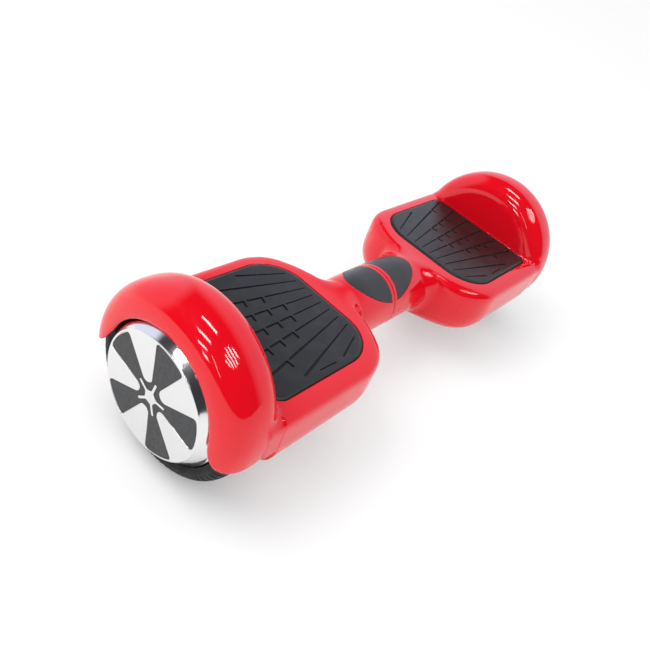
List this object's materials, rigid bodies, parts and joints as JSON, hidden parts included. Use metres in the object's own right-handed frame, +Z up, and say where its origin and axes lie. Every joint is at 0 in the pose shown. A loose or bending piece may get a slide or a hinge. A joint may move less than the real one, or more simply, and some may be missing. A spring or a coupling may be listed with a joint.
{
  "type": "self balancing hoverboard",
  "caption": "Self balancing board of twin footpad halves that twist on a central pivot, with hub-motor wheels under round red fenders.",
  "frame": {"origin": "on the ground under the middle of the board", "axes": "+X along both wheel axles towards the half with the power button, +Y towards the side with the button and charging socket, +Z up"},
  "size_m": [0.5784, 0.1791, 0.1719],
  "materials": {
    "red_shell": "high gloss red injection moulded plastic",
    "black_rubber": "matt black moulded rubber",
    "tyre_rubber": "black solid tyre rubber",
    "black_trim": "satin charcoal plastic",
    "grey_inlay": "matt charcoal painted plastic",
    "polished_metal": "bright polished metal",
    "cast_aluminium": "cast, lightly blasted",
    "steel": "turned steel",
    "motor_core": "laminated core with copper windings",
    "circuit_board": "green circuit board",
    "battery_wrap": "blue shrink wrap over metal cells",
    "clear_lens": "clear moulded lens"
  },
  "bodies": {
    "left_half": {"left_top_shell": "red_shell", "left_bottom_shell": "red_shell", "left_neck_trim": "black_trim", "left_frame": "cast_aluminium", "left_axle_clamp": "cast_aluminium", "left_clamp_bolt_front": "steel", "left_clamp_bolt_rear": "steel", "left_gyro_board": "circuit_board", "left_headlight_lens": "clear_lens", "left_headlight_board": "circuit_board", "left_axle": "steel", "left_stator": "motor_core", "battery_pack": "battery_wrap", "pivot_tube": "steel", "pivot_retaining_ring": "steel"},
    "right_half": {"right_top_shell": "red_shell", "right_bottom_shell": "red_shell", "right_neck_trim": "black_trim", "right_frame": "cast_aluminium", "right_axle_clamp": "cast_aluminium", "right_clamp_bolt_front": "steel", "right_clamp_bolt_rear": "steel", "right_gyro_board": "circuit_board", "right_headlight_lens": "clear_lens", "right_headlight_board": "circuit_board", "right_axle": "steel", "right_stator": "motor_core", "pivot_bush_inner": "black_rubber", "pivot_bush_outer": "black_rubber", "mainboard": "circuit_board", "controller_heatsink": "cast_aluminium", "power_switch": "black_trim", "charging_socket": "black_trim"},
    "left_wheel": {"left_rotor_rim": "cast_aluminium", "left_magnet_ring": "steel", "left_motor_cover": "cast_aluminium", "left_tyre": "tyre_rubber", "left_hub_cap": "polished_metal", "left_wheel_inlay": "grey_inlay", "left_hub_star": "polished_metal", "left_bearing_inner": "steel", "left_bearing_outer": "steel"},
    "right_wheel": {"right_rotor_rim": "cast_aluminium", "right_magnet_ring": "steel", "right_motor_cover": "cast_aluminium", "right_tyre": "tyre_rubber", "right_hub_cap": "polished_metal", "right_wheel_inlay": "grey_inlay", "right_hub_star": "polished_metal", "right_bearing_inner": "steel", "right_bearing_outer": "steel"},
    "left_footpad": {"left_footpad_mat": "black_rubber", "left_pedal_plate": "black_trim"},
    "right_footpad": {"right_footpad_mat": "black_rubber", "right_pedal_plate": "black_trim"},
    "power_button": {"power_button": "polished_metal"},
    "charging_cap": {"charging_cap": "black_rubber"}
  },
  "joints": [
    {"name": "twist", "type": "hinge", "parent": "left_half", "child": "right_half", "pos_m": [0, 0, 0.078], "axis": [1, 0, 0], "range_deg": [-11, 11]},
    {"name": "left_wheel_spin", "type": "hinge", "parent": "left_half", "child": "left_wheel", "pos_m": [-0.256, 0, 0.0825], "axis": [1, 0, 0], "continuous": true},
    {"name": "right_wheel_spin", "type": "hinge", "parent": "right_half", "child": "right_wheel", "pos_m": [0.256, 0, 0.0825], "axis": [1, 0, 0], "continuous": true},
    {"name": "left_footpad_press", "type": "slide", "parent": "left_half", "child": "left_footpad", "axis": [0, 0, -1], "range_m": [0, 0.0015], "stiffness_N_per_m": 6000, "springref_m": -0.0003},
    {"name": "right_footpad_press", "type": "slide", "parent": "right_half", "child": "right_footpad", "axis": [0, 0, -1], "range_m": [0, 0.0015], "stiffness_N_per_m": 6000, "springref_m": -0.0003},
    {"name": "power_button_press", "type": "slide", "parent": "right_half", "child": "power_button", "axis": [0, -1, 0], "range_m": [0, 0.0015], "stiffness_N_per_m": 400, "springref_m": -0.0005},
    {"name": "charging_cap_hinge", "type": "hinge", "parent": "right_half", "child": "charging_cap", "pos_m": [0.15, 0.085, 0.0768], "axis": [1, 0, 0], "range_deg": [0, 85]}
  ]
}
